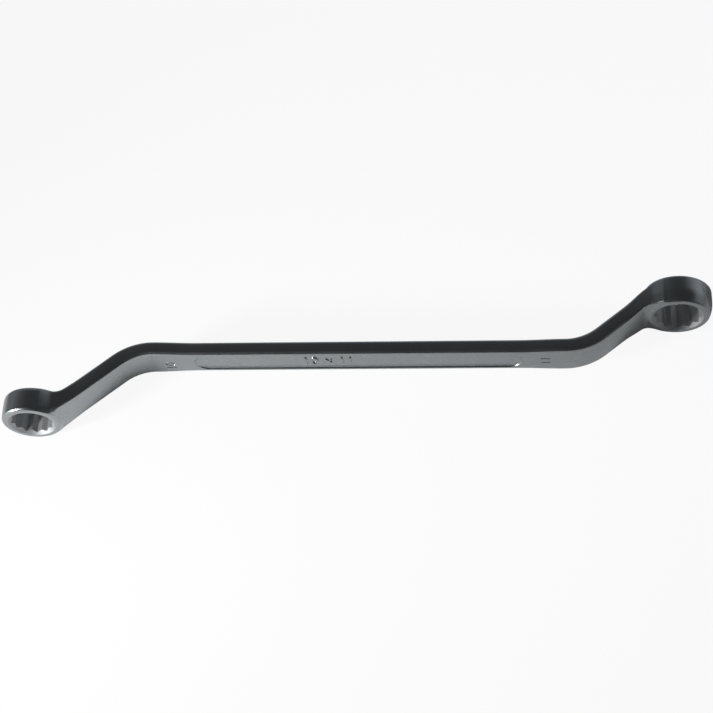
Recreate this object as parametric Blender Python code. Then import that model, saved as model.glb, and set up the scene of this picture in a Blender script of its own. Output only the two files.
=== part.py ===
"""Double-ended deep-offset ring spanner with two twelve-point ring heads, lying on its side.

The real tool is one drop forging. Its regions are five solids that meet face to face:
the shank, two cranks and two ring heads. In the spanner's own frame the shank lies along X,
the bores run along Y, and the plane Z = 0 halves it. An empty then turns the whole spanner
so that both heads rest on the ground, with the middle of its outline over the origin.
"""

import math
from dataclasses import dataclass

import bmesh
import bpy

# Shank
SHANK_WIDTH = 0.0096
SHANK_THICKNESS = 0.0042
EDGE_RADIUS = 0.0010
FACE_CROWN = 0.0001
SWELL_LENGTH = 0.0120

# Recessed panel on both wide faces
PANEL_MARGIN = 0.0110
PANEL_RIM = 0.00135
PANEL_DEPTH = 0.0005

# Cranks and necks
CRANK_ANGLE = math.radians(40.7)
BEND_RADIUS = 0.0148
NECK_BEND_RADIUS = 0.0040
NECK_FLARE_RADIUS = 0.0250
NECK_FILLET_RADIUS = 0.0020
NECK_FILLET_ANGLE = math.radians(52)
NECK_SINK = 0.0002
NECK_ROOT = 0.0026

# Ring heads
RING_MOUTH_EDGE_RADIUS = 0.0009
RING_BACK_EDGE_RADIUS = 0.0016
BORE_CLEARANCE = 0.0001
BORE_LEAD_IN = 0.00115
LEAD_IN_ANGLE = math.radians(40)
BORE_POINTS = 12
NUT_SIDES = 6

# How far a cutter reaches past what it cuts, and how near two points count as one
OVERRUN = 0.0010
MERGE_DISTANCE = 0.000001

# Facets. LEAD_IN_STEPS and FACE_STEPS keep the edges of one cutter off the edges of what it meets.
EDGE_STEPS = 4
SWELL_STEPS = 6
FACE_STEPS = 5
SIDE_STEPS = 2
BEND_STEPS = 9
CRANK_STEPS = 4
ROOT_STEPS = 6
NECK_BEND_STEPS = 5
NECK_END_STEPS = 3
RING_EDGE_STEPS = 5
RING_STEPS = 72
LEAD_IN_STEPS = 70
PANEL_END_STEPS = 12
SMOOTH_ANGLE = math.radians(30)

# Steel finishes
SATIN_CHROME = (0.50, 0.52, 0.54)
POLISHED_CHROME = (0.56, 0.58, 0.60)
SATIN_ROUGHNESS = 0.30
POLISHED_ROUGHNESS = 0.16


@dataclass(frozen=True)
class Head:
    """One end of the spanner. side is -1 for the end at -X and -Y, and +1 for the end at +X and +Y.

    entry is how far from the ring's centre the crank's middle line meets the ring's middle plane.
    seam_width is the bar's width where the crank begins to turn.
    """

    label: str
    side: int
    across_flats: float
    diameter: float
    height: float
    reach: float
    offset: float
    entry: float
    seam_width: float
    neck_width: float
    neck_thickness: float

    @property
    def radius(self):
        return self.diameter / 2

    @property
    def flat_radius(self):
        """From the bore's axis to a flat of the nut that it takes, with the clearance."""
        return (self.across_flats + BORE_CLEARANCE) / 2

    @property
    def point_radius(self):
        """From the bore's axis to the bottom of a flute."""
        return self.flat_radius / math.cos(math.pi / NUT_SIDES)

    @property
    def tip_radius(self):
        """From the bore's axis to a tip between two flutes."""
        return self.flat_radius / math.cos(math.pi / BORE_POINTS)

    @property
    def mouth_radius(self):
        """From the bore's axis to the outer edge of the lead-in that slopes in from the ring's face."""
        return self.tip_radius + BORE_LEAD_IN


SMALL_HEAD = Head(
    label="10",
    side=-1,
    across_flats=0.0100,
    diameter=0.0164,
    height=0.0074,
    reach=0.0866,
    offset=0.0167,
    entry=0.00685,
    seam_width=0.0108,
    neck_width=0.0101,
    neck_thickness=0.0045,
)
LARGE_HEAD = Head(
    label="11",
    side=1,
    across_flats=0.0110,
    diameter=0.0182,
    height=0.0078,
    reach=0.0861,
    offset=0.0148,
    entry=0.00750,
    seam_width=0.0106,
    neck_width=0.0104,
    neck_thickness=0.0044,
)


def clear_scene():
    for item in list(bpy.data.objects):
        bpy.data.objects.remove(item, do_unlink=True)


def new_collection(name):
    collection = bpy.data.collections.new(name)
    bpy.context.scene.collection.children.link(collection)
    return collection


def new_object(name, data, collection):
    item = bpy.data.objects.new(name, data)
    collection.objects.link(item)
    return item


def steel(name, colour, roughness):
    """Chromed steel with its own polish."""
    material = bpy.data.materials.new(name)
    material.use_nodes = True
    shader = material.node_tree.nodes["Principled BSDF"]
    shader.inputs["Base Color"].default_value = (*colour, 1)
    shader.inputs["Metallic"].default_value = 1
    shader.inputs["Roughness"].default_value = roughness
    return material


# The bar's cross-section


def inner_shares(steps):
    """Shares between -1 and 1 in even steps, without the ends."""
    return [2 * step / steps - 1 for step in range(1, steps)]


def section(thickness, width):
    """Outline of a bar with crowned wide faces and rounded edges, as (u, v) points.

    u runs across the thickness and v across the width.
    """
    half_u = thickness / 2 - FACE_CROWN
    half_v = width / 2
    flat_u = half_u - EDGE_RADIUS
    flat_v = half_v - EDGE_RADIUS
    points = []
    for corner, (sign_u, sign_v) in enumerate(((1, 1), (-1, 1), (-1, -1), (1, -1))):
        for step in range(EDGE_STEPS + 1):
            angle = (corner + step / EDGE_STEPS) * math.pi / 2
            u = sign_u * flat_u + EDGE_RADIUS * math.cos(angle)
            v = sign_v * flat_v + EDGE_RADIUS * math.sin(angle)
            points.append((u, v))
        if corner % 2 == 0:
            for share in inner_shares(SIDE_STEPS):
                points.append((-sign_u * share * flat_u, sign_v * half_v))
        else:
            for share in inner_shares(FACE_STEPS):
                u = sign_u * (half_u + FACE_CROWN * (1 - share**2))
                points.append((u, -sign_v * share * flat_v))
    return points


# The path of one end, worked out with the shank along +X and the ring towards +Y


def bend_start(head):
    """Distance along the shank at which the head's crank begins to turn."""
    crank_run = head.entry + head.offset / math.tan(CRANK_ANGLE)
    return head.reach - crank_run - BEND_RADIUS * math.tan(CRANK_ANGLE / 2)


def bend_end_distance(head):
    """Distance along X from the ring's centre back to where the first bend ends."""
    return head.reach - bend_start(head) - BEND_RADIUS * math.sin(CRANK_ANGLE)


def root_distance(head):
    """Distance along X from the ring's centre back to where the ring head meets its crank."""
    return head.radius + NECK_ROOT


def eased(share):
    """Runs from 0 to 1 with level ends."""
    return share * share * (3 - 2 * share)


def bend_stations(head):
    """Stations (x, y, angle, growth) through the first bend. growth rises from 0 at the shank to 1."""
    stations = []
    for step in range(BEND_STEPS + 1):
        share = step / BEND_STEPS
        angle = share * CRANK_ANGLE
        x = bend_start(head) + BEND_RADIUS * math.sin(angle)
        y = BEND_RADIUS * (1 - math.cos(angle))
        stations.append((x, y, angle, eased(share)))
    return stations


def crank_stations(head, near, far, steps):
    """Stations on the crank's straight line between two distances from the ring's centre."""
    stations = []
    for step in range(steps + 1):
        distance = near + (far - near) * step / steps
        y = head.offset - (distance - head.entry) * math.tan(CRANK_ANGLE)
        stations.append((head.reach - distance, y, CRANK_ANGLE, 1))
    return stations


def neck_stations(head):
    """Stations from the ring head's seam through the second bend, to a level end inside the ring."""
    tangent = NECK_BEND_RADIUS * math.tan(CRANK_ANGLE / 2)
    bend_begins = head.entry + tangent * math.cos(CRANK_ANGLE)
    level_x = head.reach - head.entry + tangent
    last_x = head.reach - flare_end(head) + OVERRUN
    stations = crank_stations(head, root_distance(head), bend_begins, ROOT_STEPS)
    for step in range(1, NECK_BEND_STEPS + 1):
        angle = CRANK_ANGLE * (1 - step / NECK_BEND_STEPS)
        x = level_x - NECK_BEND_RADIUS * math.sin(angle)
        y = head.offset - NECK_BEND_RADIUS * (1 - math.cos(angle))
        stations.append((x, y, angle, 1))
    for step in range(1, NECK_END_STEPS + 1):
        x = level_x + (last_x - level_x) * step / NECK_END_STEPS
        stations.append((x, head.offset, 0, 1))
    return stations


# The neck's sides flare on an arc that runs into the ring's wall


def flare_start(head):
    """Distance from the ring's centre at which the neck's sides leave their straight line."""
    seat = head.radius - NECK_SINK + NECK_FLARE_RADIUS
    side = head.neck_width / 2 + NECK_FLARE_RADIUS
    return math.sqrt(seat**2 - side**2)


def flare_end(head):
    """Distance along X from the ring's centre at which the flare reaches the ring's wall."""
    seat = head.radius - NECK_SINK
    return flare_start(head) * seat / (seat + NECK_FLARE_RADIUS)


def flare(head, distance):
    """The neck's width at a distance from the ring's centre, as a multiple of its own width."""
    depth = flare_start(head) - max(distance, flare_end(head))
    rise = NECK_FLARE_RADIUS - math.sqrt(NECK_FLARE_RADIUS**2 - max(depth, 0) ** 2)
    return 1 + rise / (head.neck_width / 2)


def fillet(head, distance, z, half_thickness):
    """How the neck thickens in the corner between its mouth side and the ring's wall, as a multiple."""
    gap = math.hypot(distance, z) - head.radius
    deepest = NECK_FILLET_RADIUS * math.sin(NECK_FILLET_ANGLE)
    depth = min(max(NECK_FILLET_RADIUS - gap, 0), deepest)
    rise = NECK_FILLET_RADIUS - math.sqrt(NECK_FILLET_RADIUS**2 - depth**2)
    return 1 + rise / half_thickness


def back_share(head, station, half_thickness):
    """How far the neck's back side is from its middle line, as a multiple of half its thickness.

    The back side keeps to the crank's straight slope until that slope reaches the ring's back face,
    and is level with that face from there on.
    """
    x, y, angle, _ = station
    slope_y = head.offset - (head.reach - x - head.entry) * math.tan(CRANK_ANGLE)
    above_slope = y - slope_y + half_thickness / math.cos(CRANK_ANGLE)
    to_slope = above_slope / (math.cos(angle) + math.sin(angle) * math.tan(CRANK_ANGLE))
    to_face = (y - head.offset + head.height / 2 - NECK_SINK) / math.cos(angle)
    return max(to_slope, to_face) / half_thickness


def section_at(head, station, in_neck=False):
    """The bar's section at a station, as points in the spanner's frame. u is above 0 on the mouth side."""
    x, y, angle, growth = station
    thickness = SHANK_THICKNESS + growth * (head.neck_thickness - SHANK_THICKNESS)
    width = head.seam_width + growth * (head.neck_width - head.seam_width)
    back = back_share(head, station, thickness / 2) if in_neck else 1
    points = []
    for u, v in section(thickness, width):
        if u < 0:
            u *= back
        point_x = x - u * math.sin(angle)
        distance = head.reach - point_x
        point_z = v * flare(head, distance)
        if u > 0:
            u *= fillet(head, distance, point_z, thickness / 2)
            point_x = x - u * math.sin(angle)
        point_y = y + u * math.cos(angle)
        points.append((head.side * point_x, head.side * point_y, point_z))
    return points


# Meshes


def loft(name, rows_of_points, collection):
    """A closed solid through sections of one point count, capped at both ends."""
    shape = bmesh.new()
    rows = [[shape.verts.new(point) for point in points] for points in rows_of_points]
    for row, following in zip(rows, rows[1:]):
        for i, corner in enumerate(row):
            j = (i + 1) % len(row)
            shape.faces.new((corner, row[j], following[j], following[i]))
    shape.faces.new(rows[0])
    shape.faces.new(rows[-1])
    bmesh.ops.recalc_face_normals(shape, faces=shape.faces)
    mesh = bpy.data.meshes.new(name)
    shape.to_mesh(mesh)
    shape.free()
    return new_object(name, mesh, collection)


def prism(name, outline, length, collection):
    """A closed solid of a flat outline, centred on its own origin and this long along its Z."""
    curve = bpy.data.curves.new(name, "CURVE")
    curve.dimensions = "2D"
    curve.fill_mode = "BOTH"
    curve.extrude = length / 2
    spline = curve.splines.new("POLY")
    spline.points.add(len(outline) - 1)
    for point, (x, y) in zip(spline.points, outline):
        point.co = (x, y, 0, 1)
    spline.use_cyclic_u = True
    source = new_object(name + "_outline", curve, collection)
    graph = bpy.context.evaluated_depsgraph_get()
    mesh = bpy.data.meshes.new_from_object(source.evaluated_get(graph))
    bpy.data.objects.remove(source, do_unlink=True)
    shape = bmesh.new()
    shape.from_mesh(mesh)
    bmesh.ops.remove_doubles(shape, verts=shape.verts, dist=MERGE_DISTANCE)
    bmesh.ops.recalc_face_normals(shape, faces=shape.faces)
    shape.to_mesh(mesh)
    shape.free()
    return new_object(name, mesh, collection)


def cone(name, base_radius, top_radius, depth, collection):
    shape = bmesh.new()
    bmesh.ops.create_cone(
        shape, cap_ends=True, segments=LEAD_IN_STEPS, radius1=base_radius, radius2=top_radius, depth=depth
    )
    mesh = bpy.data.meshes.new(name)
    shape.to_mesh(mesh)
    shape.free()
    return new_object(name, mesh, collection)


def apply_tool(item, operation, tool):
    """Cuts item with tool or joins tool to it, and shows tool as a helper only."""
    modifier = item.modifiers.new(tool.name, "BOOLEAN")
    modifier.operation = operation
    modifier.solver = "EXACT"
    modifier.object = tool
    tool.hide_render = True
    tool.display_type = "WIRE"


def finish(item, material, parent):
    item.data.materials.append(material)
    item.data.shade_smooth()
    item.data.set_sharp_from_angle(angle=SMOOTH_ANGLE)
    item.parent = parent


# The five solids


def panel_outline(length, width):
    """A long outline with round ends."""
    radius = width / 2
    points = []
    for side in (1, -1):
        for step in range(PANEL_END_STEPS + 1):
            angle = math.pi * (step / PANEL_END_STEPS - 1 / 2)
            x = length / 2 - radius + radius * math.cos(angle)
            points.append((side * x, side * radius * math.sin(angle)))
    return points


def swell_sections(head):
    """Sections of the shank near one end, from its plain middle to the wider seam with the crank."""
    sections = []
    for step in range(SWELL_STEPS + 1):
        share = step / SWELL_STEPS
        width = SHANK_WIDTH + eased(share) * (head.seam_width - SHANK_WIDTH)
        x = head.side * (bend_start(head) - SWELL_LENGTH * (1 - share))
        sections.append([(x, u, v) for u, v in section(SHANK_THICKNESS, width)])
    return sections


def build_shank(parts, cutters, spanner):
    """The straight bar between the bends, with a shallow panel sunk in each wide face."""
    start = -bend_start(SMALL_HEAD)
    end = bend_start(LARGE_HEAD)
    shank = loft("shank", swell_sections(SMALL_HEAD)[::-1] + swell_sections(LARGE_HEAD), parts)
    panel_length = end - start - 2 * PANEL_MARGIN
    panel = panel_outline(panel_length, SHANK_WIDTH - 2 * PANEL_RIM)
    cutter_height = PANEL_DEPTH + OVERRUN
    for side, name in ((-1, "near_panel_cutter"), (1, "far_panel_cutter")):
        cutter = prism(name, panel, cutter_height, cutters)
        y = side * (SHANK_THICKNESS / 2 - PANEL_DEPTH + cutter_height / 2)
        cutter.location = ((start + end) / 2, y, 0)
        cutter.rotation_euler.x = math.pi / 2
        cutter.parent = spanner
        apply_tool(shank, "DIFFERENCE", cutter)
    finish(shank, steel("shank_chrome", SATIN_CHROME, SATIN_ROUGHNESS), spanner)


def build_crank(head, parts, spanner):
    """The bend and the slanting run from the shank's end to the root of the ring."""
    straight = crank_stations(head, bend_end_distance(head), root_distance(head), CRANK_STEPS)
    stations = bend_stations(head) + straight[1:]
    crank = loft(f"crank_{head.label}", [section_at(head, station) for station in stations], parts)
    finish(crank, steel(crank.name + "_chrome", SATIN_CHROME, SATIN_ROUGHNESS), spanner)


def ring_blank(head, collection):
    """The ring's body before it is bored: a disc rounded a little at its mouth and more at its back.

    The disc's own +Z becomes the spanner's +Y, which is the mouth side of the large head only.
    """
    shape = bmesh.new()
    size = {"radius1": head.radius, "radius2": head.radius, "depth": head.height}
    bmesh.ops.create_cone(shape, cap_ends=True, segments=RING_STEPS, **size)
    for side, radius in ((head.side, RING_MOUTH_EDGE_RADIUS), (-head.side, RING_BACK_EDGE_RADIUS)):
        rim = [edge for edge in shape.edges if all(corner.co.z * side > 0 for corner in edge.verts)]
        bmesh.ops.bevel(
            shape, geom=rim, offset=radius, segments=RING_EDGE_STEPS, profile=1 / 2, affect="EDGES"
        )
    mesh = bpy.data.meshes.new(f"ring_head_{head.label}")
    shape.to_mesh(mesh)
    shape.free()
    return new_object(mesh.name, mesh, collection)


def bore_outline(head):
    """Two hexagons turned by half a point to each other: twelve flutes and twelve tips."""
    points = []
    for i in range(BORE_POINTS):
        for turn, radius in ((0, head.point_radius), (1 / 2, head.tip_radius)):
            angle = 2 * math.pi * (i + turn) / BORE_POINTS
            points.append((radius * math.cos(angle), radius * math.sin(angle)))
    return points


def build_ring_head(head, parts, cutters, spanner):
    """The ring with the neck run into its wall, then the twelve-point bore and its two lead-ins."""
    ring = ring_blank(head, parts)
    neck_sections = [section_at(head, station, in_neck=True) for station in neck_stations(head)]
    neck = loft(f"neck_{head.label}", neck_sections, cutters)
    neck.parent = spanner
    apply_tool(ring, "UNION", neck)
    tools = [prism(f"bore_cutter_{head.label}", bore_outline(head), head.height + 2 * OVERRUN, cutters)]
    inner_radius = head.tip_radius - OVERRUN
    outer_radius = head.mouth_radius + OVERRUN / math.tan(LEAD_IN_ANGLE)
    depth = (outer_radius - inner_radius) * math.tan(LEAD_IN_ANGLE)
    for side, name in ((1, "top"), (-1, "bottom")):
        radii = (inner_radius, outer_radius)[::side]
        lead_in = cone(f"{name}_lead_in_{head.label}", *radii, depth, cutters)
        lead_in.delta_location.y = side * (head.height / 2 + OVERRUN - depth / 2)
        tools.append(lead_in)
    for tool in tools:
        apply_tool(ring, "DIFFERENCE", tool)
    for item in (ring, *tools):
        item.location = (head.side * head.reach, head.side * head.offset, 0)
        item.rotation_euler.x = -math.pi / 2
        item.parent = spanner
    finish(ring, steel(ring.name + "_chrome", POLISHED_CHROME, POLISHED_ROUGHNESS), spanner)


def place(spanner):
    """Turns the spanner level on its two heads and centres its outline on the origin."""
    span = SMALL_HEAD.reach + LARGE_HEAD.reach
    tilt = math.asin((LARGE_HEAD.radius - SMALL_HEAD.radius) / span)
    low_x = -SMALL_HEAD.reach * math.cos(tilt) - SMALL_HEAD.radius
    high_x = LARGE_HEAD.reach * math.cos(tilt) + LARGE_HEAD.radius
    low_y = -SMALL_HEAD.offset - SMALL_HEAD.height / 2
    high_y = LARGE_HEAD.offset + LARGE_HEAD.height / 2
    height = SMALL_HEAD.radius + SMALL_HEAD.reach * math.sin(tilt)
    spanner.location = (-(low_x + high_x) / 2, -(low_y + high_y) / 2, height)
    spanner.rotation_euler.y = -tilt


def main():
    clear_scene()
    parts = new_collection("ring_spanner")
    cutters = new_collection("cutters")
    cutters.hide_render = True
    spanner = new_object("spanner", None, parts)
    place(spanner)
    build_shank(parts, cutters, spanner)
    for head in (SMALL_HEAD, LARGE_HEAD):
        build_crank(head, parts, spanner)
        build_ring_head(head, parts, cutters, spanner)


main()
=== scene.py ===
"""Looks of a double-ended ring spanner: chromed steel, forged in one bar, lying on its side."""

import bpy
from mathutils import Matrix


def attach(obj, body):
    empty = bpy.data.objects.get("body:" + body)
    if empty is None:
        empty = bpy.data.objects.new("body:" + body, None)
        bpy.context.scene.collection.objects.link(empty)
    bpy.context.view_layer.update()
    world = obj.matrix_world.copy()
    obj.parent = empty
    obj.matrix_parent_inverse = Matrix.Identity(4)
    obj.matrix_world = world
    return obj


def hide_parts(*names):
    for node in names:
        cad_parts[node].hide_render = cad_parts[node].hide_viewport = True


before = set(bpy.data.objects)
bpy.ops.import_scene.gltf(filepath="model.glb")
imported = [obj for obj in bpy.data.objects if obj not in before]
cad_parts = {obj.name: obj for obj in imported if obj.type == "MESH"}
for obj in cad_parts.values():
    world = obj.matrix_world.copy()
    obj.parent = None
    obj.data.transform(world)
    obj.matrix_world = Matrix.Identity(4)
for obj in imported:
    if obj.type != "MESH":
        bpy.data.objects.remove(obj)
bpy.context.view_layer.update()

import math

import bmesh
import bpy
import numpy as np
from mathutils import Matrix, Vector

# Sizes of the real tool, in metres. The shank lies along X and the bores run along Y.
BAR = {
    "Shank width": 0.0096,
    "Shank thickness": 0.0042,
    "Edge radius": 0.0010,
    "Face crown": 0.0001,
    "Side crown": 0.0001,
    "Swell length": 0.0120,
    "Crank angle": math.radians(40.7),
    "Bend radius": 0.0148,
    "Neck bend radius": 0.0040,
    "Neck flare radius": 0.0250,
    "Neck fillet radius": 0.0020,
    "Neck fillet angle": math.radians(52),
    "Neck sink": 0.0002,
    "Mouth crown": 0.0001,
    "Joint radius": 0.0007,
    "Panel margin": 0.0110,
    "Panel width": 0.0069,
    "Panel depth": 0.00045,
    "Panel wall": 0.00045,
}
HEADS = {
    "10": {
        "side": -1,
        "Ring radius": 0.0082,
        "Ring height": 0.0074,
        "Reach": 0.0866,
        "Offset": 0.0167,
        "Entry": 0.00685,
        "Seam width": 0.0108,
        "Neck width": 0.0101,
        "Neck thickness": 0.0045,
        "Flat radius": 0.00505,
        "Mouth radius": 0.00638,
        "Back radius": 0.0062,
        "Mouth edge radius": 0.0009,
        "Back edge radius": 0.0016,
        "Back crown": 0.0002,
        "Neck edge radius": 0.0010,
    },
    "11": {
        "side": 1,
        "Ring radius": 0.0091,
        "Ring height": 0.0078,
        "Reach": 0.0861,
        "Offset": 0.0148,
        "Entry": 0.00750,
        "Seam width": 0.0106,
        "Neck width": 0.0104,
        "Neck thickness": 0.0044,
        "Flat radius": 0.00555,
        "Mouth radius": 0.0062,
        "Back radius": 0.0068,
        "Mouth edge radius": 0.0009,
        "Back edge radius": 0.0005,
        "Back crown": 0.0009,
        "Neck edge radius": 0.0004,
    },
}
HEAD_SIZES = [name for name in HEADS["10"] if name != "side"]

# The neck: its root beyond the ring's wall, its reach from the ring's axis, and how its edges ease into it
NECK_ROOT = 0.0026
NECK_REACH = 0.0140
NECK_EASE = 0.0040

# The bores: two crossed hexagons with rounded points and rounded crossings, and a lead-in at each mouth
HEXAGON_POINT_ANGLE = math.radians(30)
CROSSING_ANGLE = math.radians(15)
STAR_POINTS = 12
POINT_ROUNDING = 0.00030
CROSSING_ROUNDING = 0.00008
ROUNDING_STEPS = 4
LEAD_IN_ANGLE = math.radians(40)
LEAD_IN_SIDES = 144
OVERRUN = 0.0010

# Size marks: words, place along the shank and up it, height, turn in their own plane, rise from the face.
# A foot roots each raised mark in the steel, or lifts a stamp's cutter clear of it.
MARKS = [
    ("10", -0.0502, -0.0012, 0.0027, math.pi / 2, -0.00018),
    ("11", 0.0507, 0.0001, 0.0027, -math.pi / 2, -0.00018),
    ("10 \u00d7 11", -0.0072, 0.0, 0.0032, 0.0, 0.00028),
]
MARK_FOOT = 0.0005
CAPITAL_SHARE = 0.70

# The mesh: its cell, the spacing of the field's probes, and how often each point is pulled onto the skin
CELL = 0.0003
MARGIN_CELLS = 3
PROBE = 0.00004
PROBE_CORNERS = ((1, -1, -1), (-1, -1, 1), (-1, 1, -1), (1, 1, 1))
PULLS = 3
WELD = 0.000001
CUT_TOLERANCE = 0.0000001
SKIN_TOLERANCE = 0.00002
LEAST_SLOPE = 0.000000001
SHARP_ANGLE = math.radians(35)

# The chrome: its grinding lines' waves to a metre along and across them, its handling marks and orange peel,
# and what each adds to the roughness or the relief
CHROME_COLOUR = (0.36, 0.38, 0.39, 1)
CHROME_ROUGHNESS = 0.20
GRINDING_PITCH = (60, 1800)
GRINDING_SHARE = 0.06
GRINDING_STRENGTH = 0.12
HANDLING_PITCH = 120
HANDLING_SHARE = 0.10
PEEL_PITCH = 700
PEEL_STRENGTH = 0.25
PEEL_DEPTH = 0.00004
LINE_DEPTH = 0.00002

# The bare steel of the bores, with the broach's lines
BARE_COLOUR = (0.38, 0.39, 0.40, 1)
BARE_ROUGHNESS = 0.50
BROACHING_PITCH = (60, 4000)
BROACHING_SHARE = 0.14
BROACHING_STRENGTH = 0.20

# The photograph's camera and frame
CAMERA_AIM = (0.000101, 0.000554, 0.0086)
CAMERA_DISTANCE = 0.500
CAMERA_ELEVATION = math.radians(59.898)
CAMERA_AZIMUTH = math.radians(-12.407)
CAMERA_ROLL = math.radians(-11.093)
CAMERA_NEAR = 0.01
SENSOR_WIDTH = 36
FOCAL_PIXELS = 1859.634
PHOTO_WIDTH = 713

# The studio: the floor's side and the shares of blank paper in it, and a lamp low on the left
FLOOR_SIZE = 6
FLOOR_CELLS = 8
PAPER_SHADE = 0.9
BLANK_SHARE = 0.92
MIRRORED_SHARE = 0.05
AIR_TINT = (0.95, 1, 1.05, 1)
AIR_LEVEL = 0.045
BACK_LEVEL = 0.25
RIGHT_LEVEL = 0.22
LAMP_PLACE = (-0.300, -0.160, 0.120)
LAMP_AIM = (0.080, 0, 0)
LAMP_SIZE = 0.065
LAMP_POWER = 0.255
LAMP_SPREAD = math.radians(60)


# Node trees written as sums


class Value:
    """A node's output. Python sums of values add Math nodes to its tree."""

    def __init__(self, tree, socket):
        self.tree = tree
        self.socket = socket

    def math(self, operation, *others):
        sockets = dict(enumerate((self, *others)))
        return self.tree.node("ShaderNodeMath", {"operation": operation}, sockets)

    def reflected(self, operation, other):
        return self.tree.node("ShaderNodeMath", {"operation": operation}, {0: other, 1: self})

    def __add__(self, other):
        return self.math("ADD", other)

    def __radd__(self, other):
        return self.math("ADD", other)

    def __sub__(self, other):
        return self.math("SUBTRACT", other)

    def __rsub__(self, other):
        return self.reflected("SUBTRACT", other)

    def __mul__(self, other):
        return self.math("MULTIPLY", other)

    def __rmul__(self, other):
        return self.math("MULTIPLY", other)

    def __truediv__(self, other):
        return self.math("DIVIDE", other)

    def __rtruediv__(self, other):
        return self.reflected("DIVIDE", other)

    def __pow__(self, other):
        return self.math("POWER", other)

    def __neg__(self):
        return self.math("MULTIPLY", -1)

    def __abs__(self):
        return self.math("ABSOLUTE")

    def __gt__(self, other):
        return self.math("GREATER_THAN", other)

    def __lt__(self, other):
        return self.math("LESS_THAN", other)

    def output(self, name):
        """Another output of the same node."""
        return Value(self.tree, self.socket.node.outputs[name])


class Tree:
    """A node tree, with one method that adds every kind of node."""

    def __init__(self, nodes):
        self.nodes = nodes

    def node(self, kind, settings, sockets, output=0):
        """Adds a node: its settings first, then its sockets' values or links. A list is several links."""
        node = self.nodes.nodes.new(kind)
        for name, setting in settings.items():
            setattr(node, name, setting)
        for name, given in sockets.items():
            for value in given if isinstance(given, list) else [given]:
                if isinstance(value, Value):
                    self.nodes.links.new(value.socket, node.inputs[name])
                else:
                    node.inputs[name].default_value = value
        return Value(self, node.outputs[output]) if len(node.outputs) else node

    def vector(self, x=0, y=0, z=0):
        return self.node("ShaderNodeCombineXYZ", {}, {0: x, 1: y, 2: z})


def highest(first, second):
    return first.math("MAXIMUM", second)


def lowest(first, second):
    return first.math("MINIMUM", second)


def within(value, low, high):
    return lowest(highest(value, low), high)


def root(value):
    return value.math("SQRT")


def hypotenuse(first, second):
    return root(first * first + second * second)


def eased(share):
    """Runs from 0 to 1 with level ends, for a share already between 0 and 1."""
    return share * share * (3 - 2 * share)


def ramp(value, start, end):
    """0 up to the start, 1 from the end on, and eased between them."""
    return eased(within((value - start) / (end - start), 0, 1))


def blend(low, high, factor):
    return low + (high - low) * factor


def vector_math(operation, first, second, output=0):
    """Vector Math on two vectors, or on a vector and a number where the operation is SCALE."""
    sockets = {0: first, "Scale" if operation == "SCALE" else 1: second}
    return first.tree.node("ShaderNodeVectorMath", {"operation": operation}, sockets, output)


# The forging's skin, as a field that is below 0 in the steel and above 0 outside it


def add_sockets(nodes, names, in_out, kind):
    return {name: nodes.interface.new_socket(name, in_out=in_out, socket_type=kind) for name in names}


def size_names():
    """Every size that the field needs: the bar's, then each head's with its label in front."""
    names = list(BAR)
    for label in HEADS:
        names += [f"{label} {name}" for name in HEAD_SIZES]
    return names


def filleted(first, second, radius):
    """Distance to two solids joined with a fillet in the corner between them."""
    corner = hypotenuse(highest(radius - first, 0), highest(radius - second, 0))
    return highest(lowest(first, second), radius) - corner


def rounded_box(across, up, radius):
    """Distance to a rectangle with rounded corners, from the distances to its inner sides."""
    outside = hypotenuse(highest(across, 0), highest(up, 0))
    return outside + lowest(highest(across, up), 0) - radius


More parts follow.
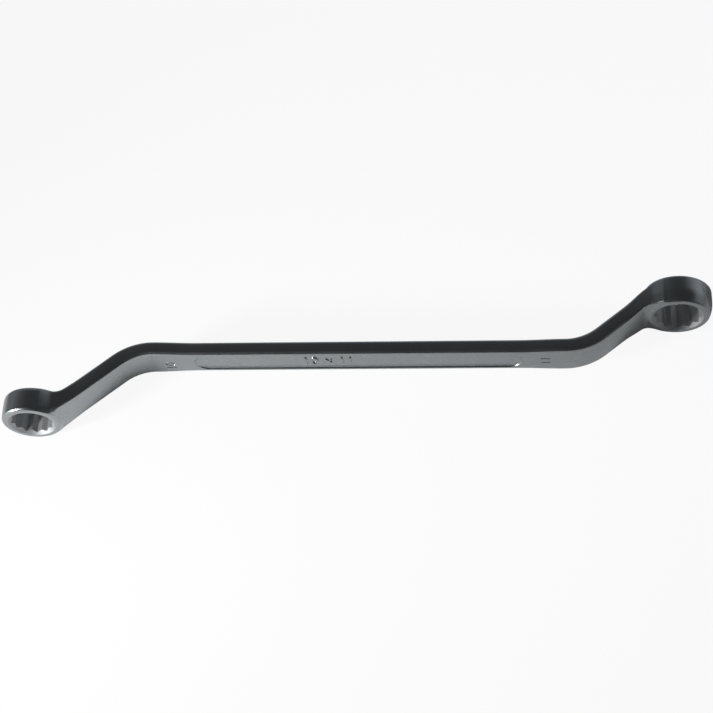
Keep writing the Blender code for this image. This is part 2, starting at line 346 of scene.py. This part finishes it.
def steel_field():
    """A node group: from a position in the tool's own frame to its distance from the skin."""
    nodes = bpy.data.node_groups.new("steel_field", "GeometryNodeTree")
    add_sockets(nodes, ["Position"], "INPUT", "NodeSocketVector")
    add_sockets(nodes, size_names(), "INPUT", "NodeSocketFloat")
    add_sockets(nodes, ["Distance", "Along", "Across"], "OUTPUT", "NodeSocketFloat")
    tree = Tree(nodes)
    entry = tree.node("NodeGroupInput", {}, {})
    size = {name: entry.output(name) for name in size_names()}
    place = tree.node("ShaderNodeSeparateXYZ", {}, {0: entry.output("Position")})
    x, y, z = (place.output(axis) for axis in "XYZ")

    # Both ends are worked out with the shank along +X and the ring towards +Y, the small one turned round
    large = x > 0
    head = {name: blend(size[f"10 {name}"], size[f"11 {name}"], large) for name in HEAD_SIZES}
    run = abs(x)
    rise = y * (large * 2 - 1)
    angle, bend = size["Crank angle"], size["Bend radius"]
    slope = angle.math("TANGENT")
    half_slope = (angle / 2).math("TANGENT")
    starts = []
    for label in HEADS:
        crank_run = size[f"{label} Entry"] + size[f"{label} Offset"] / slope
        starts.append(size[f"{label} Reach"] - crank_run - bend * half_slope)
    start = blend(*starts, large)

    # The bar's middle line: straight, round the first bend, then up the slope
    turn = (run - start).math("ARCTAN2", bend - rise)
    turn = within(turn, 0, angle)
    sine, cosine = turn.math("SINE"), turn.math("COSINE")
    from_x = run - start - bend * sine
    from_y = rise - bend * (1 - cosine)
    off_first = from_y * cosine - from_x * sine
    along_first = start + bend * turn + from_x * cosine + from_y * sine

    # Up the slope, round the neck's bend, then level into the ring
    neck_bend = size["Neck bend radius"]
    level_x = head["Reach"] - head["Entry"] + neck_bend * half_slope
    back = (level_x - run).math("ARCTAN2", rise - head["Offset"] + neck_bend)
    back = within(back, 0, angle)
    sine, cosine = back.math("SINE"), back.math("COSINE")
    from_x = run - level_x + neck_bend * sine
    from_y = rise - head["Offset"] + neck_bend * (1 - cosine)
    off_second = from_y * cosine - from_x * sine

    distance = head["Reach"] - run
    near_ring = distance < NECK_REACH
    off = blend(off_first, off_second, near_ring)
    growth = eased(turn / angle)
    half_thickness = blend(size["Shank thickness"], head["Neck thickness"], growth) / 2
    swell = eased(within(1 - (start - run) / size["Swell length"], 0, 1))
    shank_width = blend(size["Shank width"], head["Seam width"], swell)
    half_width = blend(shank_width, head["Neck width"], growth) / 2

    # The neck's sides flare on an arc into the ring's wall, and its mouth side thickens in the corner
    flare = size["Neck flare radius"]
    seat = head["Ring radius"] - size["Neck sink"]
    flare_start = root((seat + flare) ** 2 - (head["Neck width"] / 2 + flare) ** 2)
    flare_end = flare_start * seat / (seat + flare)
    depth = highest(flare_start - highest(distance, flare_end), 0)
    half_width = half_width + flare - root(flare * flare - depth * depth)
    fillet = size["Neck fillet radius"]
    gap = hypotenuse(distance, z) - head["Ring radius"]
    depth = within(fillet - gap, 0, fillet * size["Neck fillet angle"].math("SINE"))
    thickening = fillet - root(fillet * fillet - depth * depth)

    # The neck's back side runs straight up the slope until it reaches the ring's back face
    to_face = head["Offset"] - head["Ring height"] / 2 + size["Neck sink"] - rise
    neck_back = filleted(-off_first - half_thickness, to_face, size["Joint radius"])
    back_side = blend(-off - half_thickness, neck_back, near_ring)
    mouth_side = off - half_thickness - thickening

    # The panels: shallow, with round ends and sloping walls
    panel_radius = size["Panel width"] / 2
    half_length = (starts[0] + starts[1]) / 2 - size["Panel margin"]
    from_end = highest(abs(x - (starts[1] - starts[0]) / 2) - half_length + panel_radius, 0)
    inside = panel_radius - hypotenuse(from_end, z)
    sunk = size["Panel depth"] * eased(within(inside / size["Panel wall"], 0, 1))

    nearness = eased(within((NECK_REACH - distance) / NECK_EASE, 0, 1))
    edge = blend(size["Edge radius"], head["Neck edge radius"], nearness)
    flat_share = lowest(abs(z) / (half_width - edge), 1)
    crown = size["Face crown"] * flat_share * flat_share
    across = highest(mouth_side, back_side) + edge + crown + sunk
    side_share = lowest(abs(off) / half_thickness, 1)
    side_crown = size["Side crown"] * side_share * side_share
    bar = rounded_box(across, abs(z) - half_width + edge + side_crown, edge)
    bar = highest(bar, run - head["Reach"])

    # The ring, with a rounding of its own at each face and walls that draw in a little towards them
    over = rise - head["Offset"]
    rim = blend(head["Back edge radius"], head["Mouth edge radius"], over > 0)
    height_share = over / (head["Ring height"] / 2)
    draw_in = blend(head["Back crown"], size["Mouth crown"], over > 0) * height_share * height_share
    radial = hypotenuse(distance, z) - head["Ring radius"] + draw_in + rim
    ring = rounded_box(radial, abs(over) - head["Ring height"] / 2 + rim, rim)

    # The two joined with a small forged fillet
    skin = filleted(bar, ring, size["Joint radius"])
    along = along_first * (large * 2 - 1)
    tree.node("NodeGroupOutput", {}, {"Distance": skin, "Along": along, "Across": off})
    return nodes


class Forging:
    """The tree that makes the forging, with its inputs and the field that it follows."""

    def __init__(self, field):
        self.field = field
        self.nodes = bpy.data.node_groups.new("forging", "GeometryNodeTree")
        add_sockets(self.nodes, ["Geometry"], "INPUT", "NodeSocketGeometry")
        lengths = [*size_names(), "Cell", "Probe", "Lead-in angle", "Overrun"]
        self.inputs = add_sockets(self.nodes, lengths, "INPUT", "NodeSocketFloat")
        self.inputs.update(add_sockets(self.nodes, ["Skin", "Bore"], "INPUT", "NodeSocketMaterial"))
        add_sockets(self.nodes, ["Geometry"], "OUTPUT", "NodeSocketGeometry")
        self.tree = Tree(self.nodes)
        entry = self.tree.node("NodeGroupInput", {}, {})
        self.given = {name: entry.output(name) for name in self.inputs}
        self.here = self.tree.node("GeometryNodeInputPosition", {}, {})
        skin = self.pull_onto_skin(self.cast())
        skin = self.give_material(skin, "Skin")
        for mark in MARKS:
            skin = self.mark_shank(skin, *mark)
        for label, head in HEADS.items():
            skin = self.bore_ring(skin, label, head["side"])
        skin = self.store_readings(skin)
        skin = self.tree.node("GeometryNodeRealizeInstances", {}, {"Geometry": skin})
        self.tree.node("NodeGroupOutput", {}, {"Geometry": skin})

    def field_at(self, position, output="Distance"):
        sockets = {name: self.given[name] for name in size_names()}
        sockets["Position"] = position
        return self.tree.node("GeometryNodeGroup", {"node_tree": self.field}, sockets, output)

    def slope_at(self, position):
        """The field's slope and its value, from four probes at the corners of a small tetrahedron."""
        probe = self.given["Probe"]
        slope, total = None, None
        for corner in PROBE_CORNERS:
            step = vector_math("SCALE", self.tree.vector(*corner), probe)
            reading = self.field_at(vector_math("ADD", position, step))
            pull = vector_math("SCALE", self.tree.vector(*corner), reading / (probe * len(PROBE_CORNERS)))
            slope = pull if slope is None else vector_math("ADD", slope, pull)
            total = reading if total is None else total + reading
        return slope, total / len(PROBE_CORNERS)

    def cast(self):
        """The field as a coarse mesh, in a box that leaves a few cells free on all sides."""
        given, cell = self.given, self.given["Cell"]
        reaches = [given[f"{label} Reach"] + given[f"{label} Ring radius"] for label in HEADS]
        rises = [given[f"{label} Offset"] + given[f"{label} Ring height"] / 2 for label in HEADS]
        radii = [given[f"{label} Ring radius"] for label in HEADS]
        halves = [highest(*pair) for pair in (reaches, rises, radii)]
        counts = [((half + cell * MARGIN_CELLS) / cell).math("CEIL") for half in halves]
        ends = [count * cell for count in counts]
        density = 1 - self.field_at(self.here) / cell
        sockets = {
            "Density": within(density, 0, 2),
            "Background": 0,
            "Min": self.tree.vector(*(-end for end in ends)),
            "Max": self.tree.vector(*ends),
        }
        for axis, count in zip("XYZ", counts):
            sockets[f"Resolution {axis}"] = count * 2 + 1
        volume = self.tree.node("GeometryNodeVolumeCube", {}, sockets)
        return self.tree.node("GeometryNodeVolumeToMesh", {}, {"Volume": volume, "Threshold": 1})

    def pull_onto_skin(self, skin):
        for _ in range(PULLS):
            slope, value = self.slope_at(self.here)
            square = vector_math("DOT_PRODUCT", slope, slope, "Value")
            pull = vector_math("SCALE", slope, -(value / square))
            skin = self.tree.node("GeometryNodeSetPosition", {}, {"Geometry": skin, "Offset": pull})
        return skin

    def give_material(self, shape, name):
        sockets = {"Geometry": shape, "Material": self.given[name]}
        return self.tree.node("GeometryNodeSetMaterial", {}, sockets)

    def move(self, shape, place, turn=(0, 0, 0)):
        sockets = {"Geometry": shape, "Translation": place, "Rotation": turn}
        return self.tree.node("GeometryNodeTransform", {}, sockets)

    def join(self, *shapes):
        return self.tree.node("GeometryNodeJoinGeometry", {}, {0: list(shapes)})

    def add(self, skin, shape):
        settings = {"operation": "UNION", "solver": "MANIFOLD"}
        return self.tree.node("GeometryNodeMeshBoolean", settings, {"Mesh 2": self.join(skin, shape)})

    def cut(self, skin, cutter):
        settings = {"operation": "DIFFERENCE", "solver": "MANIFOLD"}
        return self.tree.node("GeometryNodeMeshBoolean", settings, {"Mesh 1": skin, "Mesh 2": cutter})

    def prism(self, outline, length):
        """A closed solid from a flat outline, of a length that is shared equally by its two sides."""
        face = self.tree.node("GeometryNodeFillCurve", {"mode": "TRIANGLES"}, {"Curve": outline})
        wall = self.tree.node(
            "GeometryNodeExtrudeMesh",
            {"mode": "FACES"},
            {"Mesh": face, "Offset": self.tree.vector(z=length), "Offset Scale": 1, "Individual": False},
        )
        foot = self.tree.node("GeometryNodeFlipFaces", {}, {"Mesh": face})
        sockets = {"Geometry": self.join(wall, foot), "Distance": WELD}
        solid = self.tree.node("GeometryNodeMergeByDistance", {}, sockets)
        return self.move(solid, self.tree.vector(z=length * -0.5))

    def mark_shank(self, skin, words, along, up, tall, turn, rise):
        """A size mark on both faces: stamped into the shank, or raised from the panel's floor."""
        letters = self.tree.node(
            "GeometryNodeStringToCurves",
            {"align_x": "CENTER", "align_y": "MIDDLE"},
            {"String": words, "Size": tall / CAPITAL_SHARE},
        )
        letters = self.tree.node("GeometryNodeRealizeInstances", {}, {"Geometry": letters})
        solid = self.prism(letters, MARK_FOOT + abs(rise))
        raised = rise > 0
        floor = self.given["Shank thickness"] / 2 - (self.given["Panel depth"] if raised else 0)
        middle = floor + (rise - math.copysign(MARK_FOOT, rise)) / 2
        for face in (-1, 1):
            mark = self.move(solid, (0, 0, 0), (0, 0, turn * -face))
            facing = (math.pi / 2, 0, math.pi if face > 0 else 0)
            mark = self.move(mark, self.tree.vector(along, middle * face, up), facing)
            mark = self.give_material(mark, "Skin" if raised else "Bore")
            skin = self.add(skin, mark) if raised else self.cut(skin, mark)
        return skin

    def lead_in(self, label, name, side, tips):
        """The cone that opens one mouth of a bore, in the bore's own frame."""
        slope = self.given["Lead-in angle"].math("TANGENT")
        overrun = self.given["Overrun"]
        inner, outer = tips - overrun, self.given[f"{label} {name}"] + overrun / slope
        deep = (outer - inner) * slope
        low, high = (inner, outer) if side > 0 else (outer, inner)
        sizes = {"Radius Top": high, "Radius Bottom": low, "Depth": deep}
        counts = {"Vertices": LEAD_IN_SIDES, "Side Segments": 1}
        cone = self.tree.node("GeometryNodeMeshCone", {"fill_type": "NGON"}, {**counts, **sizes})
        lift = self.given[f"{label} Ring height"] / 2 + overrun
        return self.move(cone, self.tree.vector(z=lift - deep if side > 0 else -lift))

    def bore_ring(self, skin, label, mouth_side):
        """A bore: a star of two crossed hexagons, and a cone at each mouth."""
        given = self.given
        flat = given[f"{label} Flat radius"]
        points, tips = flat / math.cos(HEXAGON_POINT_ANGLE), flat / math.cos(CROSSING_ANGLE)
        sizes = {"Points": STAR_POINTS, "Inner Radius": tips, "Outer Radius": points, "Twist": 0}
        star = self.tree.node("GeometryNodeCurveStar", {}, sizes)
        rounding = blend(CROSSING_ROUNDING, POINT_ROUNDING, star.output("Outer Points"))
        sizes = {"Curve": star, "Count": ROUNDING_STEPS, "Radius": rounding}
        star = self.tree.node("GeometryNodeFilletCurve", {"mode": "POLY"}, sizes)
        cutters = [self.prism(star, given[f"{label} Ring height"] + given["Overrun"] * 2)]
        for side in (1, -1):
            name = "Mouth radius" if side == mouth_side else "Back radius"
            cutters.append(self.lead_in(label, name, side, tips))
        centre = [given[f"{label} {name}"] * mouth_side for name in ("Reach", "Offset")]
        for cutter in cutters:
            cutter = self.move(cutter, self.tree.vector(*centre), (-math.pi / 2, 0, 0))
            skin = self.cut(skin, self.give_material(cutter, "Bore"))
        return skin

    def store_readings(self, skin):
        """Keeps the field's slope and value on the skin, and each point's place along and off the bar."""
        slope, value = self.slope_at(self.here)
        along, across = self.field_at(self.here, "Along"), self.field_at(self.here, "Across")
        for name, kind, domain, reading in (
            ("skin_normal", "FLOAT_VECTOR", "POINT", slope),
            ("bar_place", "FLOAT_VECTOR", "POINT", self.tree.vector(along, across)),
            ("skin_depth", "FLOAT", "FACE", value),
        ):
            settings = {"data_type": kind, "domain": domain}
            sockets = {"Geometry": skin, "Name": name, "Value": reading}
            skin = self.tree.node("GeometryNodeStoreNamedAttribute", settings, sockets)
        return skin


def grow_forging(skin_material, bore_material):
    """Runs the tree and gives its plain mesh, still in the tool's own frame."""
    forging = Forging(steel_field())
    item = bpy.data.objects.new("forging", bpy.data.meshes.new("forging"))
    bpy.context.scene.collection.objects.link(item)
    modifier = item.modifiers.new("forging", "NODES")
    modifier.node_group = forging.nodes
    sizes = dict(BAR)
    for label, head in HEADS.items():
        sizes.update({f"{label} {name}": head[name] for name in HEAD_SIZES})
    sizes.update({"Cell": CELL, "Probe": PROBE, "Lead-in angle": LEAD_IN_ANGLE, "Overrun": OVERRUN})
    sizes.update({"Skin": skin_material, "Bore": bore_material})
    for name, size in sizes.items():
        modifier[forging.inputs[name].identifier] = size
    graph = bpy.context.evaluated_depsgraph_get()
    mesh = bpy.data.meshes.new_from_object(item.evaluated_get(graph))
    item.modifiers.remove(modifier)
    bpy.data.objects.remove(item, do_unlink=True)
    return mesh


def cut_piece(forging, name, planes):
    """The part of the forging on the inner side of every plane, closed where it was cut."""
    shape = bmesh.new()
    shape.from_mesh(forging)
    depth = shape.faces.layers.float["skin_depth"]
    for point, normal in planes:
        bmesh.ops.bisect_plane(
            shape,
            geom=[*shape.verts, *shape.edges, *shape.faces],
            dist=CUT_TOLERANCE,
            plane_co=point,
            plane_no=normal,
            clear_outer=True,
        )
        rim = [edge for edge in shape.edges if edge.is_boundary]
        for face in bmesh.ops.holes_fill(shape, edges=rim, sides=0)["faces"]:
            face.normal_update()
            if face.normal.dot(normal) < 0:
                face.normal_flip()
            face[depth] = -1
            face.material_index = 1
    mesh = bpy.data.meshes.new(name)
    shape.to_mesh(mesh)
    shape.free()
    for material in forging.materials:
        mesh.materials.append(material)
    return mesh


def shade_skin(mesh):
    """Gives the skin the field's own normals, so that no seam shows, and leaves the bores crisp."""
    mesh.shade_smooth()
    mesh.set_sharp_from_angle(angle=SHARP_ANGLE)
    slopes = np.empty(len(mesh.vertices) * 3, np.float32)
    mesh.attributes["skin_normal"].data.foreach_get("vector", slopes)
    slopes = slopes.reshape(-1, 3)
    slopes /= np.maximum(np.linalg.norm(slopes, axis=1, keepdims=True), LEAST_SLOPE)
    depths = np.empty(len(mesh.polygons), np.float32)
    mesh.attributes["skin_depth"].data.foreach_get("value", depths)
    corners = np.empty(len(mesh.loops), np.int32)
    mesh.loops.foreach_get("vertex_index", corners)
    counts = np.empty(len(mesh.polygons), np.int32)
    mesh.polygons.foreach_get("loop_total", counts)
    on_skin = np.repeat(np.abs(depths) < SKIN_TOLERANCE, counts)
    normals = np.where(on_skin[:, None], slopes[corners], 0)
    mesh.normals_split_custom_set(normals.tolist())
    for name in ("skin_normal", "skin_depth"):
        mesh.attributes.remove(mesh.attributes[name])


def bend_start(head):
    """Distance along the shank at which a head's crank begins to turn."""
    angle = BAR["Crank angle"]
    bend = BAR["Bend radius"] * math.tan(angle / 2)
    return head["Reach"] - head["Entry"] - head["Offset"] / math.tan(angle) - bend


def ring_seam(head):
    """The plane between a ring head and its crank, square to the slope: a point and a normal."""
    angle, side = BAR["Crank angle"], head["side"]
    distance = head["Ring radius"] + NECK_ROOT
    rise = head["Offset"] - (distance - head["Entry"]) * math.tan(angle)
    point = Vector((head["Reach"] - distance, rise, 0)) * side
    return point, Vector((math.cos(angle), math.sin(angle), 0)) * side


def shank_seam(head):
    """The plane in which the shank ends and a head's crank begins."""
    side = head["side"]
    return Vector((side * bend_start(head), 0, 0)), Vector((side, 0, 0))


def lie():
    """From the tool's own frame to where it lies, level on its two heads and centred on the origin."""
    small, large = HEADS["10"], HEADS["11"]
    tilt = math.asin((large["Ring radius"] - small["Ring radius"]) / (small["Reach"] + large["Reach"]))
    low_x = -small["Reach"] * math.cos(tilt) - small["Ring radius"]
    high_x = large["Reach"] * math.cos(tilt) + large["Ring radius"]
    low_y = -small["Offset"] - small["Ring height"] / 2
    high_y = large["Offset"] + large["Ring height"] / 2
    height = small["Ring radius"] + small["Reach"] * math.sin(tilt)
    place = Matrix.Translation((-(low_x + high_x) / 2, -(low_y + high_y) / 2, height))
    return place @ Matrix.Rotation(-tilt, 4, "Y")


def build_pieces(forging):
    """Five pieces, one for each CAD node, that meet in the same planes as the nodes do."""
    seams = {"shank": [shank_seam(head) for head in HEADS.values()]}
    for label, head in HEADS.items():
        near, far = shank_seam(head), ring_seam(head)
        seams[f"crank_{label}"] = [(near[0], -near[1]), far]
        seams[f"ring_head_{label}"] = [(far[0], -far[1])]
    for node, planes in seams.items():
        mesh = cut_piece(forging, f"{node}_steel", planes)
        shade_skin(mesh)
        mesh.transform(lie())
        piece = bpy.data.objects.new(f"{node}_steel", mesh)
        bpy.context.scene.collection.objects.link(piece)
        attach(piece, "root")
        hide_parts(node)


# Finishes


def new_material(name):
    material = bpy.data.materials.new(name)
    material.use_nodes = True
    material.node_tree.nodes.clear()
    return material, Tree(material.node_tree)


def finish_material(tree, shader):
    tree.node("ShaderNodeOutputMaterial", {}, {"Surface": shader})


def noise(place, scale, detail):
    sockets = {"Vector": place, "Scale": scale, "Detail": detail}
    return place.tree.node("ShaderNodeTexNoise", {"noise_dimensions": "3D"}, sockets)


def relief(height, strength, depth, under=None):
    """A bump, on top of another one where there is one."""
    sockets = {"Strength": strength, "Distance": depth, "Height": height}
    if under is not None:
        sockets["Normal"] = under
    return height.tree.node("ShaderNodeBump", {}, sockets)


def steel(tree, colour, roughness, normal):
    sockets = {"Base Color": colour, "Metallic": 1, "Roughness": roughness, "Normal": normal}
    return tree.node("ShaderNodeBsdfPrincipled", {}, sockets)


def chromed_steel():
    """Chrome over a forged and belt-ground bar: fine lines along it, orange peel and handling marks."""
    material, tree = new_material("chromed_steel")
    place = tree.node("ShaderNodeTexCoord", {}, {}, "Object")
    up = tree.node("ShaderNodeSeparateXYZ", {}, {0: place}).output("Z")
    bar = tree.node("ShaderNodeAttribute", {"attribute_name": "bar_place"}, {}, "Vector")
    along = tree.node("ShaderNodeSeparateXYZ", {}, {0: bar})
    long_pitch, cross_pitch = GRINDING_PITCH
    lines_place = tree.vector(along * long_pitch, along.output("Y") * cross_pitch, up * cross_pitch)
    lines = noise(lines_place, 1, 3)
    handled = noise(place, HANDLING_PITCH, 3)
    peel = noise(place, PEEL_PITCH, 2)
    rough = CHROME_ROUGHNESS + HANDLING_SHARE * handled + GRINDING_SHARE * lines
    normal = relief(peel, PEEL_STRENGTH, PEEL_DEPTH, relief(lines, GRINDING_STRENGTH, LINE_DEPTH))
    finish_material(tree, steel(tree, CHROME_COLOUR, rough, normal))
    return material


def broached_steel():
    """Bare machined steel in the bores and the stamped marks, with the broach's lines along each bore."""
    material, tree = new_material("broached_steel")
    place = tree.node("ShaderNodeTexCoord", {}, {}, "Object")
    long_pitch, cross_pitch = BROACHING_PITCH
    pitches = (cross_pitch, long_pitch, cross_pitch)
    lines = noise(tree.node("ShaderNodeMapping", {}, {"Vector": place, "Scale": pitches}), 1, 3)
    rough = BARE_ROUGHNESS + BROACHING_SHARE * lines
    normal = relief(lines, BROACHING_STRENGTH, LINE_DEPTH)
    finish_material(tree, steel(tree, BARE_COLOUR, rough, normal))
    return material


# The studio


def build_floor():
    """A plain pale floor. The camera sees it nearly blank, with a soft shadow. Steel mirrors it as lit."""
    material, tree = new_material("white_paper")
    paper = tree.node("ShaderNodeBsdfDiffuse", {}, {"Color": (PAPER_SHADE, PAPER_SHADE, PAPER_SHADE, 1)})
    blank = tree.node("ShaderNodeEmission", {}, {"Color": (1, 1, 1, 1), "Strength": 1})
    seen = tree.node("ShaderNodeLightPath", {}, {}, "Is Camera Ray")
    mirrored = seen.output("Is Glossy Ray") + seen.output("Is Transmission Ray")
    share = seen * BLANK_SHARE + mirrored * MIRRORED_SHARE
    finish_material(tree, tree.node("ShaderNodeMixShader", {}, {0: share, 1: paper, 2: blank}))
    shape = bmesh.new()
    bmesh.ops.create_grid(shape, x_segments=FLOOR_CELLS, y_segments=FLOOR_CELLS, size=FLOOR_SIZE / 2)
    mesh = bpy.data.meshes.new("floor")
    shape.to_mesh(mesh)
    shape.free()
    mesh.materials.append(material)
    floor = bpy.data.objects.new("floor", mesh)
    bpy.context.scene.collection.objects.link(floor)


def build_world():
    """A dim room with pale low walls: along the back, in the corner at the back right, and on the right.

    Across, back and height are the parts of a direction, from -1 to 1.
    """
    world = bpy.data.worlds.new("studio")
    world.use_nodes = True
    world.node_tree.nodes.clear()
    tree = Tree(world.node_tree)
    direction = tree.node("ShaderNodeTexCoord", {}, {}, "Generated")
    across = tree.node("ShaderNodeSeparateXYZ", {}, {0: direction})
    back, height = across.output("Y"), across.output("Z")
    back_wall = ramp(back, 0.15, 0.50) * (1 - ramp(height, 0, 0.95))
    corner = ramp(across, 0.25, 0.50) * ramp(back, 0.43, 0.53) * (1 - ramp(height, 0.50, 0.80))
    right_wall = ramp(across, 0.60, 0.80) * ramp(back, -0.45, -0.35) * (1 - ramp(height, 0.45, 0.65))
    level = AIR_LEVEL + BACK_LEVEL * back_wall + RIGHT_LEVEL * highest(corner, right_wall)
    background = tree.node("ShaderNodeBackground", {}, {"Color": AIR_TINT, "Strength": level})
    tree.node("ShaderNodeOutputWorld", {}, {"Surface": background})
    bpy.context.scene.world = world


def build_lamp():
    """A round lamp low on the left, aimed past the tool's middle, whose light fades to the right."""
    light = bpy.data.lights.new("lamp", "AREA")
    light.shape = "DISK"
    light.size = LAMP_SIZE
    light.energy = LAMP_POWER
    light.spread = LAMP_SPREAD
    item = bpy.data.objects.new("lamp", light)
    item.location = LAMP_PLACE
    item.rotation_euler = (Vector(LAMP_AIM) - Vector(LAMP_PLACE)).to_track_quat("-Z", "Y").to_euler()
    bpy.context.scene.collection.objects.link(item)


def build_camera():
    """The photograph's view: half a metre off, 60 degrees up, and turned about its own axis."""
    level = math.cos(CAMERA_ELEVATION)
    away = Vector(
        (-math.sin(CAMERA_AZIMUTH) * level, -math.cos(CAMERA_AZIMUTH) * level, math.sin(CAMERA_ELEVATION))
    )
    right = Vector((math.cos(CAMERA_AZIMUTH), -math.sin(CAMERA_AZIMUTH), 0))
    up = away.cross(right)
    turned_right = right * math.cos(CAMERA_ROLL) + up * math.sin(CAMERA_ROLL)
    turned_up = up * math.cos(CAMERA_ROLL) - right * math.sin(CAMERA_ROLL)
    camera = bpy.data.cameras.new("camera")
    camera.sensor_width = SENSOR_WIDTH
    camera.lens = FOCAL_PIXELS / PHOTO_WIDTH * SENSOR_WIDTH
    camera.clip_start = CAMERA_NEAR
    item = bpy.data.objects.new("camera", camera)
    turn = Matrix((turned_right, turned_up, away)).transposed().to_4x4()
    item.matrix_world = Matrix.Translation(Vector(CAMERA_AIM) + away * CAMERA_DISTANCE) @ turn
    bpy.context.scene.collection.objects.link(item)
    bpy.context.scene.camera = item


def main():
    bpy.context.scene.view_settings.view_transform = "Standard"
    forging = grow_forging(chromed_steel(), broached_steel())
    build_pieces(forging)
    bpy.data.meshes.remove(forging)
    build_floor()
    build_world()
    build_lamp()
    build_camera()


main()
